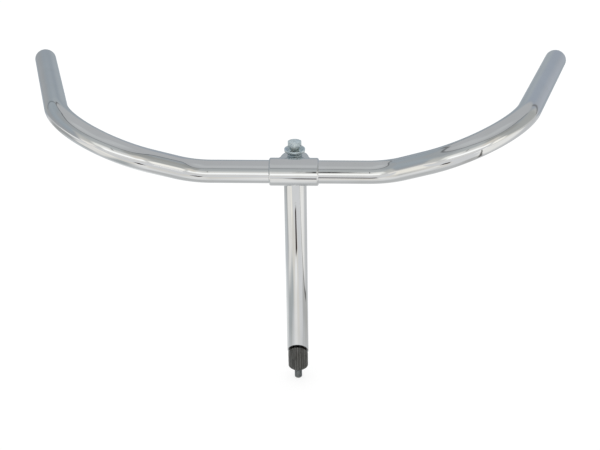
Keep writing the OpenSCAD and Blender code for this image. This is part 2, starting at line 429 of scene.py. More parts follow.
def make_bolt(zinc):
    """The long bolt: head, plain shank and thread as one closed shell."""
    head = make_bolt_head()
    neck_z = BOLT_END_Z + (THREAD_TURNS - THREAD_SPARE_TURNS) * THREAD_PITCH
    shank = turned_piece("expander_bolt_body", (
        (BOLT_RADIUS - BOLT_BEVEL, BOLT_END_Z), (THREAD_ROOT, BOLT_END_Z + POINT_RUN),
        (THREAD_ROOT, neck_z), (BOLT_RADIUS, neck_z + SHOULDER_RUN),
        (BOLT_RADIUS, HEAD_Z - SHANK_IN_HEAD / 2), (BOLT_RADIUS, HEAD_Z + SHANK_IN_HEAD)),
        sides=BOLT_SIDES, solid=True)
    thread = make_thread()
    envelope = turned_piece("thread_trim_tool", (
        (BOLT_RADIUS - BOLT_BEVEL + TRIM_PLAY, BOLT_END_Z + TRIM_PLAY),
        (BOLT_RADIUS + TRIM_PLAY, BOLT_END_Z + BOLT_BEVEL + TRIM_PLAY),
        (BOLT_RADIUS + TRIM_PLAY, neck_z + RUN_OUT_LOW),
        (THREAD_ROOT - RUN_OUT_DEPTH, neck_z + RUN_OUT_HIGH)),
        sides=BOLT_SIDES, solid=True)
    cut_with(thread, envelope, "INTERSECT")
    for addition in (thread, head):
        cut_with(shank, addition, "UNION")
        open_mesh()
        tidy_shell()
        close_mesh()
    dress(shank, zinc)
    finish_piece(shank, "expander_bolt", body="bolt")


def make_spring_washer(zinc):
    """The split ring under the cup: turned, slit at a slant and rounded."""
    top = SEAT_Z + SPRING_THICK
    ring = turned_piece("split_spring_washer", (
        (WASHER_HOLE, SEAT_Z), (SPRING_RADIUS, SEAT_Z), (SPRING_RADIUS, top), (WASHER_HOLE, top)))
    clear_selection()
    bpy.ops.mesh.primitive_cube_add(
        size=1, location=(0, SPRING_RADIUS, SEAT_Z + SPRING_THICK / 2),
        rotation=(0, SLIT_ANGLE, 0), scale=(SLIT_WIDTH, 2 * SPRING_RADIUS, 4 * SPRING_THICK))
    slit = bpy.context.object
    fix_place()
    cut_with(ring, slit, "DIFFERENCE")
    soften(ring, WASHER_SOFTNESS, 30)
    dress(ring, zinc)
    finish_piece(ring, "spring_washer")


def make_cup_washer(zinc):
    """The dished washer: turned with its sloping wall and rolled rim."""
    low = SEAT_Z + SPRING_THICK
    cup = turned_piece("dished_cup_washer", (
        (WASHER_HOLE, low), (SPRING_RADIUS, low), (CUP_RADIUS, low + CUP_HEIGHT - CUP_RIM),
        (CUP_RADIUS, low + CUP_HEIGHT), (CUP_RADIUS - CUP_WALL, low + CUP_HEIGHT),
        (SPRING_RADIUS - CUP_WALL, low + CUP_FLOOR), (WASHER_HOLE, low + CUP_FLOOR)))
    soften(cup, WASHER_SOFTNESS, 20)
    dress(cup, zinc)
    finish_piece(cup, "cup_washer")


# Shader groups that more than one finish uses

def add_node(tree, kind, links=(), **settings):
    """A node with its settings, and its inputs fed from sockets or plain values."""
    node = tree.nodes.new(kind)
    for key, value in settings.items():
        setattr(node, key, value)
    for socket, source in links:
        if hasattr(source, "is_linked"):
            tree.links.new(source, node.inputs[socket])
        else:
            node.inputs[socket].default_value = source
    return node


def value_node(tree, operation, first, second=None, third=None):
    """A Math node fed by links or by plain numbers."""
    node = tree.nodes.new("ShaderNodeMath")
    node.operation = operation
    for socket, source in zip(node.inputs, (first, second, third)):
        if source is None:
            continue
        if isinstance(source, (int, float)):
            socket.default_value = source
        else:
            tree.links.new(source, socket)
    return node.outputs["Value"]


def times(tree, first, second):
    """Two values multiplied."""
    return value_node(tree, "MULTIPLY", first, second)


def added(tree, value, mask, amount):
    """A value raised by this amount where the mask is 1."""
    return value_node(tree, "MULTIPLY_ADD", mask, amount, value)


def faded(tree, value, low, high):
    """0 at the low value and 1 at the high one, with a soft run between."""
    node = add_node(tree, "ShaderNodeMapRange",
                    (("Value", value), ("From Min", low), ("From Max", high)),
                    interpolation_type="SMOOTHSTEP")
    return node.outputs["Result"]


def noise(tree, vector, scale, detail=3.0, roughness=0.55, distortion=0.0):
    """The value of a noise pattern."""
    node = add_node(tree, "ShaderNodeTexNoise",
                    (("Vector", vector), ("Scale", scale), ("Detail", detail),
                     ("Roughness", roughness), ("Distortion", distortion)))
    return node.outputs["Fac"]


def blend(tree, share, first, second):
    """Two colours mixed, each from a socket or as plain numbers."""
    mix = tree.nodes.new("ShaderNodeMix")
    mix.data_type = "RGBA"
    for socket, source in (("Factor", share), ("A", first), ("B", second)):
        if hasattr(source, "is_linked"):
            tree.links.new(source, mix.inputs[socket])
        elif socket == "Factor":
            mix.inputs[socket].default_value = source
        else:
            mix.inputs[socket].default_value = (*source, 1)
    return mix.outputs["Result"]


def tinted(tree, colour, mask, strength, tone):
    """A colour with a tone laid over it where the mask is 1, at this strength."""
    return blend(tree, times(tree, mask, strength), colour, tone)


def blank_material(name):
    """An empty material, its tree and the socket for its surface."""
    material = bpy.data.materials.new(name)
    material.use_nodes = True
    tree = material.node_tree
    tree.nodes.clear()
    return material, tree, add_node(tree, "ShaderNodeOutputMaterial").inputs["Surface"]


def choose_shader(tree, ray, otherwise, shader):
    """One shader for this kind of ray, and another for all the rest."""
    node = add_node(tree, "ShaderNodeMixShader", ((0, ray), (1, otherwise), (2, shader)))
    return node.outputs["Shader"]


def new_group(name, inputs, outputs):
    """An empty group with its named sockets."""
    group = bpy.data.node_groups.new(name, "ShaderNodeTree")
    for socket_name, kind, default in inputs:
        socket = group.interface.new_socket(
            name=socket_name, in_out="INPUT", socket_type="NodeSocket" + kind)
        if default is not None:
            socket.default_value = default
    for socket_name, kind in outputs:
        group.interface.new_socket(
            name=socket_name, in_out="OUTPUT", socket_type="NodeSocket" + kind)
    source = group.nodes.new("NodeGroupInput").outputs
    result = group.nodes.new("NodeGroupOutput").inputs
    return group, source, result


def make_scratch_group():
    """Fine scratches in three directions, broken up so that they run out."""
    group, source, result = new_group(
        "fine scratches",
        (("Vector", "Vector", None), ("Scale", "Float", 60.0), ("Amount", "Float", 0.5)),
        (("Mask", "Float"),))
    total = None
    for turn in ((0.3, 0.5, 0.2), (1.1, -0.4, 0.9), (-0.6, 0.9, 2.0)):
        place = add_node(group, "ShaderNodeMapping",
                         (("Vector", source["Vector"]), ("Rotation", turn),
                          ("Scale", (1.0, 26.0, 26.0))))
        lines = noise(group, place.outputs["Vector"], source["Scale"], 2.0, 0.5)
        lines = faded(group, lines, 0.655, 0.70)
        patch = faded(group, noise(group, source["Vector"], 90.0 + 20 * turn[1], 2.0), 0.45, 0.6)
        lines = times(group, lines, patch)
        total = lines if total is None else value_node(group, "MAXIMUM", total, lines)
    group.links.new(times(group, total, source["Amount"]), result["Mask"])
    return group


def make_smudge_group():
    """Where hands and cloths have left the shine a little dull."""
    group, source, result = new_group(
        "handling marks",
        (("Vector", "Vector", None), ("Scale", "Float", 30.0)),
        (("Mask", "Float"),))
    broad = faded(group, noise(group, source["Vector"], source["Scale"], 4.0, 0.6, 0.6), 0.42, 0.68)
    fine = noise(group, source["Vector"], times(group, source["Scale"], 9.0), 5.0, 0.65)
    mask = times(group, broad, added(group, 0.3, fine, 0.8))
    group.links.new(mask, result["Mask"])
    return group


def make_wave_group():
    """The slight unevenness of drawn and plated tube, as a height and its fine grain."""
    group, source, result = new_group(
        "plate waves",
        (("Vector", "Vector", None), ("Scale", "Float", 45.0), ("Grain", "Float", 0.05)),
        (("Height", "Float"),))
    broad = noise(group, source["Vector"], source["Scale"], 1.5, 0.45)
    fine = noise(group, source["Vector"], times(group, source["Scale"], 40.0), 3.0, 0.6)
    height = added(group, broad, fine, source["Grain"])
    group.links.new(height, result["Height"])
    return group


def make_speck_group():
    """Small pits and specks, each in its own cell and only in some of the cells."""
    group, source, result = new_group(
        "pits and specks",
        (("Vector", "Vector", None), ("Scale", "Float", 220.0), ("Share", "Float", 0.03),
         ("Size", "Float", 0.2)),
        (("Mask", "Float"),))
    wobble = add_node(group, "ShaderNodeTexNoise",
                      (("Vector", source["Vector"]), ("Scale", 900.0), ("Detail", 2.0)))
    place = add_node(group, "ShaderNodeMix",
                     (("Factor", 0.0006), ("A", source["Vector"]), ("B", wobble.outputs["Color"])),
                     data_type="VECTOR")
    cells = add_node(group, "ShaderNodeTexVoronoi",
                     (("Vector", place.outputs["Result"]), ("Scale", source["Scale"])))
    inside = faded(group, cells.outputs["Distance"], source["Size"],
                   times(group, source["Size"], 0.55))
    pick_cell = add_node(group, "ShaderNodeSeparateColor", (("Color", cells.outputs["Color"]),))
    chosen = value_node(group, "LESS_THAN", pick_cell.outputs["Red"], source["Share"])
    group.links.new(times(group, inside, chosen), result["Mask"])
    return group


def make_edge_group():
    """Worn outer edges: where the rounded normal parts from the true one, broken by noise."""
    group, source, result = new_group(
        "edge wear",
        (("Vector", "Vector", None), ("Radius", "Float", 0.0004), ("Break", "Float", 500.0)),
        (("Mask", "Float"),))
    rounded = add_node(group, "ShaderNodeBevel", (("Radius", source["Radius"]),), samples=6)
    true = group.nodes.new("ShaderNodeNewGeometry")
    dot = add_node(group, "ShaderNodeVectorMath", operation="DOT_PRODUCT")
    group.links.new(rounded.outputs["Normal"], dot.inputs[0])
    group.links.new(true.outputs["Normal"], dot.inputs[1])
    edge = faded(group, dot.outputs["Value"], 0.995, 0.93)
    rough = faded(group, noise(group, source["Vector"], source["Break"], 4.0, 0.6), 0.35, 0.6)
    group.links.new(times(group, edge, rough), result["Mask"])
    return group


SCRATCHES = make_scratch_group()
SMUDGES = make_smudge_group()
WAVES = make_wave_group()
SPECKS = make_speck_group()
EDGES = make_edge_group()


def use_group(tree, group, vector, **values):
    """A shared group placed in a material with its own values."""
    node = tree.nodes.new("ShaderNodeGroup")
    node.node_tree = group
    tree.links.new(vector, node.inputs["Vector"])
    for key, value in values.items():
        node.inputs[key.replace("_", " ")].default_value = value
    return node.outputs[0]


# Tones of the finishes, what has settled on them, and the painted highlight and painted shade on the
# washers
CHROME_TONES = ((0.79, 0.80, 0.81), (0.82, 0.83, 0.84))
CHROME_SMUDGE = (0.74, 0.74, 0.72)
CHROME_PIT = (0.16, 0.13, 0.10)
BORE_STEEL = (0.15, 0.145, 0.14)
BORE_RUST = (0.12, 0.075, 0.045)
BORE_GRIME = (0.055, 0.05, 0.048)
ZINC_TONES = ((0.66, 0.76, 0.80), (0.75, 0.82, 0.82))
ZINC_VIOLET = (0.62, 0.68, 0.78)
# Painted highlight tone for the top of the cup washer's rim
ZINC_RIM_HIGHLIGHT = (0.78, 0.88, 0.94)
ZINC_WORN = (0.88, 0.91, 0.93)
ZINC_MATT = (0.60, 0.71, 0.74)
ZINC_PIT = (0.26, 0.27, 0.26)
BOLT_OIL_TONES = ((0.21, 0.22, 0.23), (0.29, 0.30, 0.30))
BOLT_GREASE = (0.035, 0.035, 0.035)
BOLT_BROWN_FILM = (0.46, 0.41, 0.31)
# Painted shade mixed with grime, under the cup washer's rim and round the washers' foot
WASHER_GRIME_AND_SHADE = (0.13, 0.17, 0.18)
WEDGE_TONES = ((0.10, 0.10, 0.096), (0.13, 0.13, 0.125))
WEDGE_OIL = (0.08, 0.073, 0.064)
WEDGE_RUBBED = (0.26, 0.26, 0.25)
WEDGE_PIT = (0.05, 0.05, 0.05)

# Where the stains, and the painted highlight and painted shade on the washers, run out and where they
# are full: heights, and the radius less the height
OIL_FADE = (-168 * MM, -180 * MM)
GREASE_FADE = (-204 * MM, -199 * MM)
FILM_TOP_FADE = (37.6 * MM, 36.9 * MM)
FILM_FOOT_FADE = (20 * MM, 29 * MM)
HEAD_FADE = (37.2 * MM, 38.2 * MM)
RIM_FADE = (32.2 * MM, 32.5 * MM)
UNDER_RIM_FADE = (33.9 * MM, 33.4 * MM)
OUTSIDE_FADE = (-22.9 * MM, -22.3 * MM)
FOOT_FADE = (28.9 * MM, 28.4 * MM)
LIT_FOOT_FADE = (27.3 * MM, 27.5 * MM)
LIT_TOP_FADE = (28.45 * MM, 28.3 * MM)
CREST_FADE = (10.02 * MM, 10.36 * MM)
STAIN_RAGGED = 3 * MM
WORN_EDGE = 0.3 * MM


# Finishes

def new_material(name):
    """A material with its Principled shader, and the Object coordinates that its patterns read."""
    material, tree, surface = blank_material(name)
    shader = add_node(tree, "ShaderNodeBsdfPrincipled", (("Metallic", 1),))
    tree.links.new(shader.outputs["BSDF"], surface)
    return material, tree, shader, add_node(tree, "ShaderNodeTexCoord").outputs["Object"]


def raise_surface(tree, shader, height, distance, under=None):
    """Feeds a height to the shader's normal, over an earlier bump if there is one."""
    bump = add_node(tree, "ShaderNodeBump", (("Height", height), ("Distance", distance)))
    if under is not None:
        tree.links.new(under, bump.inputs["Normal"])
    tree.links.new(bump.outputs["Normal"], shader.inputs["Normal"])
    return bump.outputs["Normal"]


def chrome_finish(name, wave_scale, wave_height, speck_share, dullness):
    """Bright chrome plate: waves, faint scratches, handling marks and a few pits."""
    material, tree, shader, place = new_material(name)
    tone = noise(tree, place, 14.0, 3.0)
    colour = blend(tree, faded(tree, tone, 0.35, 0.65), *CHROME_TONES)
    smudge = use_group(tree, SMUDGES, place, Scale=26.0)
    colour = tinted(tree, colour, smudge, 0.35, CHROME_SMUDGE)
    speck = use_group(tree, SPECKS, place, Scale=170.0, Share=speck_share, Size=0.16)
    colour = blend(tree, speck, colour, CHROME_PIT)
    tree.links.new(colour, shader.inputs["Base Color"])
    scratch = use_group(tree, SCRATCHES, place, Scale=50.0, Amount=0.7)
    roughness = added(tree, 0.02, smudge, dullness)
    roughness = added(tree, roughness, scratch, 0.12)
    roughness = added(tree, roughness, speck, 0.4)
    tree.links.new(roughness, shader.inputs["Roughness"])
    wave = use_group(tree, WAVES, place, Scale=wave_scale, Grain=0.012)
    under = raise_surface(tree, shader, wave, wave_height)
    dents = value_node(tree, "SUBTRACT", times(tree, scratch, -0.4), speck)
    raise_surface(tree, shader, dents, 0.004 * MM, under)
    return material


def bore_finish():
    """The unplated inside of a tube: dull steel with thin rust."""
    material, tree, shader, place = new_material("bare bore")
    stain = faded(tree, noise(tree, place, 120.0, 6.0, 0.65, 0.4), 0.42, 0.66)
    colour = blend(tree, stain, BORE_STEEL, BORE_RUST)
    grime = use_group(tree, SMUDGES, place, Scale=60.0)
    colour = tinted(tree, colour, grime, 0.6, BORE_GRIME)
    tree.links.new(colour, shader.inputs["Base Color"])
    tree.links.new(added(tree, 0.45, stain, 0.3), shader.inputs["Roughness"])
    tree.links.new(added(tree, 0.9, stain, -0.6), shader.inputs["Metallic"])
    raise_surface(tree, shader, stain, 0.03 * MM)
    return material


def stain_bolt(tree, height, ragged, hue, colour, roughness):
    """Oil and grease low on the shank, and a thin brown film under the head."""
    oily = faded(tree, ragged, *OIL_FADE)
    oil_tone = blend(tree, faded(tree, hue, 0.4, 0.6), *BOLT_OIL_TONES)
    colour = tinted(tree, colour, oily, 0.92, oil_tone)
    greased = times(tree, oily, faded(tree, height, *GREASE_FADE))
    colour = tinted(tree, colour, greased, 0.9, BOLT_GREASE)
    under_head = times(tree, faded(tree, ragged, *FILM_TOP_FADE),
                       faded(tree, ragged, *FILM_FOOT_FADE))
    colour = tinted(tree, colour, under_head, 0.45, BOLT_BROWN_FILM)
    roughness = added(tree, roughness, greased, 0.3)
    return colour, added(tree, roughness, oily, 0.08)


def stain_washers(tree, place, height, ragged, colour, roughness):
    """A painted highlight on the cup's rim, and painted shade mixed with grime under the rim and
    round the foot.
    """
    # Painted highlight: the top of the cup's rim is lightened and made a little smoother.
    rim = faded(tree, height, *RIM_FADE)
    colour = tinted(tree, colour, rim, 0.6, ZINC_RIM_HIGHLIGHT)
    side = add_node(tree, "ShaderNodeVectorMath", ((0, place), (1, (1.0, 1.0, 0.0))),
                    operation="MULTIPLY").outputs["Vector"]
    radius = add_node(tree, "ShaderNodeVectorMath", ((0, side),), operation="LENGTH")
    outside = value_node(tree, "SUBTRACT", radius.outputs["Value"], height)
    # Painted shade mixed with grime: darker under the cup's rim and round the foot, lifted again on a
    # painted lit band on the spring washer's upper side.
    under_rim = times(tree, faded(tree, ragged, *UNDER_RIM_FADE),
                      faded(tree, outside, *OUTSIDE_FADE))
    lit = times(tree, faded(tree, height, *LIT_FOOT_FADE), faded(tree, height, *LIT_TOP_FADE))
    grime_and_shade = value_node(tree, "MAXIMUM", under_rim, faded(tree, ragged, *FOOT_FADE))
    grime_and_shade = value_node(tree, "SUBTRACT", grime_and_shade, lit)
    grime_and_shade = times(tree, value_node(tree, "MAXIMUM", grime_and_shade, 0.0), 0.42)
    colour = blend(tree, grime_and_shade, colour, WASHER_GRIME_AND_SHADE)
    roughness = added(tree, roughness, grime_and_shade, 0.2)
    return colour, added(tree, roughness, rim, -0.06)


def zinc_finish(name, on_bolt):
    """Blue zinc plate with a faint play of colour, matt scuffs, worn edges and grime underneath; on
    the washers the grime underneath is mixed with painted shade, and the cup's rim has a painted
    highlight.
    """
    material, tree, shader, place = new_material(name)
    height = add_node(tree, "ShaderNodeSeparateXYZ", (("Vector", place),)).outputs["Z"]
    hue = noise(tree, place, 170.0, 2.0, 0.5, 0.8)
    colour = blend(tree, faded(tree, hue, 0.38, 0.62), *ZINC_TONES)
    second = noise(tree, place, 140.0, 2.0, 0.5, 1.4)
    colour = tinted(tree, colour, faded(tree, second, 0.5, 0.75), 0.5, ZINC_VIOLET)
    smudge = use_group(tree, SMUDGES, place, Scale=110.0)
    scratch = use_group(tree, SCRATCHES, place, Scale=170.0, Amount=1.0)
    edge = use_group(tree, EDGES, place, Radius=WORN_EDGE, Break=900.0)
    bright = value_node(tree, "MAXIMUM", times(tree, scratch, 0.7), edge)
    colour = tinted(tree, colour, bright, 0.45, ZINC_WORN)
    pit = use_group(tree, SPECKS, place, Scale=520.0, Share=0.06, Size=0.26)
    colour = tinted(tree, colour, pit, 0.5, ZINC_PIT)
    ragged = added(tree, height, noise(tree, place, 260.0, 4.0, 0.6), STAIN_RAGGED)
    matt = times(tree, smudge, 0.5)
    roughness = added(tree, 0.2, smudge, 0.14)
    if on_bolt:
        colour, roughness = stain_bolt(tree, height, ragged, hue, colour, roughness)
        scuff = faded(tree, noise(tree, place, 750.0, 5.0, 0.65), 0.36, 0.6)
        matt = value_node(tree, "MAXIMUM", matt,
                          times(tree, faded(tree, height, *HEAD_FADE), scuff))
    else:
        colour, roughness = stain_washers(tree, place, height, ragged, colour, roughness)
    colour = tinted(tree, colour, matt, 0.3, ZINC_MATT)
    tree.links.new(colour, shader.inputs["Base Color"])
    tree.links.new(added(tree, 0.98, matt, -0.5), shader.inputs["Metallic"])
    roughness = added(tree, roughness, bright, -0.05)
    roughness = added(tree, roughness, matt, 0.1)
    tree.links.new(roughness, shader.inputs["Roughness"])
    grain = use_group(tree, WAVES, place, Scale=420.0, Grain=0.35)
    under = raise_surface(tree, shader, grain, 0.02 * MM)
    raise_surface(tree, shader, times(tree, scratch, -1.0), 0.006 * MM, under)
    return material


def wedge_finish():
    """Oiled dark steel: grooves full of grime, crests rubbed brighter, streaks down the ribs."""
    material, tree, shader, place = new_material("oiled dark steel")
    parts = add_node(tree, "ShaderNodeSeparateXYZ", (("Vector", place),)).outputs
    square = added(tree, times(tree, parts["Y"], parts["Y"]), parts["X"], parts["X"])
    crest = faded(tree, value_node(tree, "SQRT", square), *CREST_FADE)
    streak_place = add_node(tree, "ShaderNodeMapping",
                            (("Vector", place), ("Scale", (1.0, 1.0, 0.18))))
    streak = noise(tree, streak_place.outputs["Vector"], 480.0, 4.0, 0.6)
    oil = faded(tree, noise(tree, place, 150.0, 5.0, 0.6, 0.5), 0.4, 0.65)
    colour = blend(tree, faded(tree, streak, 0.35, 0.65), *WEDGE_TONES)
    colour = tinted(tree, colour, oil, 0.35, WEDGE_OIL)
    rubbed = times(tree, crest, faded(tree, streak, 0.35, 0.55))
    edge = use_group(tree, EDGES, place, Radius=WORN_EDGE, Break=700.0)
    rubbed = value_node(tree, "MAXIMUM", rubbed, times(tree, edge, 0.8))
    colour = tinted(tree, colour, rubbed, 0.4, WEDGE_RUBBED)
    pit = use_group(tree, SPECKS, place, Scale=600.0, Share=0.08, Size=0.28)
    colour = tinted(tree, colour, pit, 0.5, WEDGE_PIT)
    tree.links.new(colour, shader.inputs["Base Color"])
    roughness = added(tree, 0.5, oil, -0.14)
    roughness = added(tree, roughness, rubbed, -0.12)
    tree.links.new(roughness, shader.inputs["Roughness"])
    grain = use_group(tree, WAVES, place, Scale=600.0, Grain=0.5)
    raise_surface(tree, shader, value_node(tree, "SUBTRACT", grain, pit), 0.03 * MM)
    return material


bar_chrome = chrome_finish("bar chrome", 42.0, 0.05 * MM, 0.006, 0.04)
lug_chrome = chrome_finish("lug chrome", 90.0, 0.02 * MM, 0.008, 0.04)
stem_chrome = chrome_finish("stem chrome", 46.0, 0.035 * MM, 0.004, 0.04)
bore_steel = bore_finish()
bolt_zinc = zinc_finish("bolt zinc", True)
washer_zinc = zinc_finish("washer zinc", False)
wedge_steel = wedge_finish()

make_bar_tube(bar_chrome, bore_steel)
make_stem_tube(stem_chrome, bore_steel)
make_bolt(bolt_zinc)
make_spring_washer(washer_zinc)
make_cup_washer(washer_zinc)
dress(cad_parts["stem_lug"], lug_chrome)
dress(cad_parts["expander_wedge"], wedge_steel)


# Floor, light and camera

DISC_SIDES = 64
FLOOR_RADIUS = 9
FLOOR_TONE = (0.8, 0.8, 0.8, 1)
FLOOR_SHADE_TONE = (0.3, 0.3, 0.3, 1)
FLOOR_GLOW = 0.74


def make_disc(name, radius, height):
    """A flat round stage piece."""
    clear_selection()
    bpy.ops.mesh.primitive_circle_add(
        vertices=DISC_SIDES, radius=radius, fill_type="NGON", location=(0, 0, height))
    disc = name_piece(name)
    settle()
    return disc


def make_floor():
    """A pale floor just under the bolt's end, which metal looks through."""
    floor = make_disc("floor", FLOOR_RADIUS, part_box("expander_bolt")[0].z)
    material, tree, surface = blank_material("pale floor")
    path = add_node(tree, "ShaderNodeLightPath").outputs
    real = add_node(tree, "ShaderNodeBsdfDiffuse", (("Color", FLOOR_TONE),))
    faint = add_node(tree, "ShaderNodeBsdfDiffuse", (("Color", FLOOR_SHADE_TONE),))
    glow = add_node(tree, "ShaderNodeEmission", (("Strength", FLOOR_GLOW),))
    both = add_node(tree, "ShaderNodeAddShader",
                    ((0, faint.outputs["BSDF"]), (1, glow.outputs["Emission"])))
    clear = add_node(tree, "ShaderNodeBsdfTransparent")
    seen = choose_shader(tree, path["Is Camera Ray"], real.outputs["BSDF"], both.outputs["Shader"])
    seen = choose_shader(tree, path["Is Glossy Ray"], seen, clear.outputs["BSDF"])
    tree.links.new(seen, surface)
    dress(floor, material)


def make_card_group():
    """Mask of one soft-edged card, placed in degrees in the room or centimetres on the table."""
    group, source, result = new_group(
        "soft card",
        tuple((name, "Float", None) for name in (
            "Across", "Up", "At Across", "At Up", "Lean", "Half Width", "Half Height", "Edge")),
        (("Mask", "Float"),))
    aside = value_node(group, "SUBTRACT", source["Across"], source["At Across"])
    aside = value_node(group, "WRAP", aside, 180, -180)
    above = value_node(group, "SUBTRACT", source["Up"], source["At Up"])
    lean = value_node(group, "RADIANS", source["Lean"])
    cosine = value_node(group, "COSINE", lean)
    sine = value_node(group, "SINE", lean)
    across = added(group, times(group, above, sine), aside, cosine)
    along = value_node(group, "SUBTRACT", times(group, above, cosine), times(group, aside, sine))
    masks = []
    for distance, half in ((across, "Half Width"), (along, "Half Height")):
        masks.append(faded(group, value_node(group, "ABSOLUTE", distance),
                           value_node(group, "ADD", source[half], source["Edge"]),
                           value_node(group, "SUBTRACT", source[half], source["Edge"])))
    group.links.new(times(group, *masks), result["Mask"])
    return group


CARD = make_card_group()


def card_mask(tree, name, across, up, sizes):
    """Where one card shows."""
    card = tree.nodes.new("ShaderNodeGroup")
    card.node_tree = CARD
    card.label = name
    tree.links.new(across, card.inputs["Across"])
    tree.links.new(up, card.inputs["Up"])
    for socket, value in zip(card.inputs[2:], sizes):
        socket.default_value = value
    return card.outputs["Mask"]


def lay_cards(tree, colour, cards, across, up):
    """Lays the tone of each card over the colour, in their order."""
    for name, *sizes, tone, strength in cards:
        mask = card_mask(tree, name, across, up, sizes)
        colour = tinted(tree, colour, mask, strength, tone)
    return colour


def lay_line(tree, colour, line, across, up):
    """Draws a thin line through its points over the colour."""
    name, points, half, edge, tone, strength = line
    total = None
    for (x0, y0), (x1, y1) in zip(points[:-1], points[1:]):
        lean = math.degrees(math.atan2(y1 - y0, x1 - x0))
        reach = math.hypot(x1 - x0, y1 - y0) / 2
        mask = card_mask(tree, name, across, up,
                         ((x0 + x1) / 2, (y0 + y1) / 2, lean, reach, half, edge))
        total = mask if total is None else value_node(tree, "MAXIMUM", total, mask)
    return tinted(tree, colour, total, strength, tone)


def ramp_node(tree, share, stops, interpolation):
    """A colour ramp through (place, colour) stops."""
    node = add_node(tree, "ShaderNodeValToRGB", (("Fac", share),))
    ramp = node.color_ramp
    ramp.interpolation = interpolation
    for number, (place, colour) in enumerate(stops):
        stop = ramp.elements[number] if number < 2 else ramp.elements.new(place)
        stop.position = place
        stop.color = (*colour, 1)
    return node.outputs["Color"]


# Directions in the room are degrees round the part (0 is the camera's side, 90 its +X side)
# and degrees over its level. Each card: name, round, height, lean, half width, half height, edge,
# tone and strength, laid over one another in this order.

WHITE = (1, 1, 1, 1)

# How bright the plain room is at each height
ROOM_HEIGHTS = (
    (-90, (0.60, 0.61, 0.62)),
    (-28, (0.48, 0.48, 0.48)),
    (-8, (0.67, 0.67, 0.66)),
    (12, (0.57, 0.57, 0.54)),
    (40, (0.36, 0.39, 0.41)),
    (60, (0.46, 0.48, 0.49)),
    (90, (0.57, 0.59, 0.60)),
)

ROOM_CARDS = (
    ("back wall", 180, 5, 0, 34, 24, 8, (0.40, 0.44, 0.47), 1.0),
    ("back wall, left", -162, 0, 0, 16, 18, 4, (0.34, 0.38, 0.42), 1.0),
    ("front wall", 0, 32, 0, 46, 14, 7, (0.49, 0.51, 0.51), 0.9),
    ("left wall", -105, -4, 0, 47, 24, 6, (0.35, 0.37, 0.39), 0.9),
    ("left wall, cool", -108, 22, -6, 44, 14, 7, (0.36, 0.41, 0.45), 0.8),
    ("left wall, high", -75, 44, 0, 42, 10, 7, (0.39, 0.41, 0.42), 0.8),
    ("left wall, low", -82, -22, -10, 34, 6, 6, (0.49, 0.48, 0.45), 0.6),
    ("left rear", -133, -12, 0, 8, 14, 4, (0.40, 0.42, 0.42), 0.8),
    ("right wall", 88, 12, 0, 34, 22, 7, (0.42, 0.43, 0.42), 0.9),
    ("right wall, high", 52, 34, 0, 30, 8, 7, (0.36, 0.36, 0.34), 0.8),
    ("right wall, cool", 150, 8, 0, 24, 22, 6, (0.35, 0.39, 0.46), 0.7),
    ("streak, right", 132, 13, 60, 22, 2.5, 2.5, (0.18, 0.18, 0.18), 0.8),
    ("streak, left", -139.6, 16.4, -43, 20, 1.5, 1.5, (0.15, 0.17, 0.18), 0.7),
    ("bright band, left", -46, -12, 8, 11, 9, 4, (0.96, 0.92, 0.86), 1.0),
    ("bright band, upper left", -20, 10, 0, 13, 9, 5, (0.95, 0.95, 0.90), 1.0),
    ("bright band, middle", 8, 1, 0, 30, 7, 4, (1.22, 1.22, 1.20), 1.0),
    ("bright band, upper right", 34, 14, 20, 14, 8, 6, (0.75, 0.71, 0.64), 0.9),
    ("glow over the band", 0, 14, 0, 24, 9, 7, (0.96, 0.95, 0.92), 0.5),
    ("cream card", 52, -14, 0, 9, 18, 4, (1.13, 1.10, 1.03), 1.0),
    ("cream card, far", 84, -24, -14, 34, 14, 7, (0.90, 0.87, 0.79), 1.0),
    ("soft patch", -12, -13, 0, 24, 2.5, 2.5, (0.71, 0.73, 0.74), 0.8),
    ("dark upright", -1.5, 20, 0, 0.75, 5.5, 0.5, (0.05, 0.05, 0.05), 1.0),
)

# How high the ceiling starts, from (round, height) to the next
CEILING_EDGE = (
    (-180, 26), (-162, 28), (-153, 33), (-146, 41), (-134, 49), (-112, 52), (-88, 51), (-62, 50),
    (-44, 50), (-24, 49), (-9, 50), (13, 47), (30, 44), (50, 43), (70, 45), (94, 45), (106, 42),
    (125, 34), (150, 28), (180, 26))
CEILING_TONE = (0.49, 0.50, 0.51)
CEILING_EDGE_SOFTNESS = 4
CEILING_CARDS = (
    ("lit part of the ceiling", 0, 70, 0, 110, 10, 8, (0.57, 0.585, 0.59), 0.85),
)
CEILING_LINE_TONE = (0.10, 0.105, 0.11)
CEILING_LINE_STRENGTH = 0.75
CEILING_LINE_INSIDE = 0.3
CEILING_LINE_OUTSIDE = 2.6
CEILING_LINE_ENDS = (-172, -162, 114, 122)
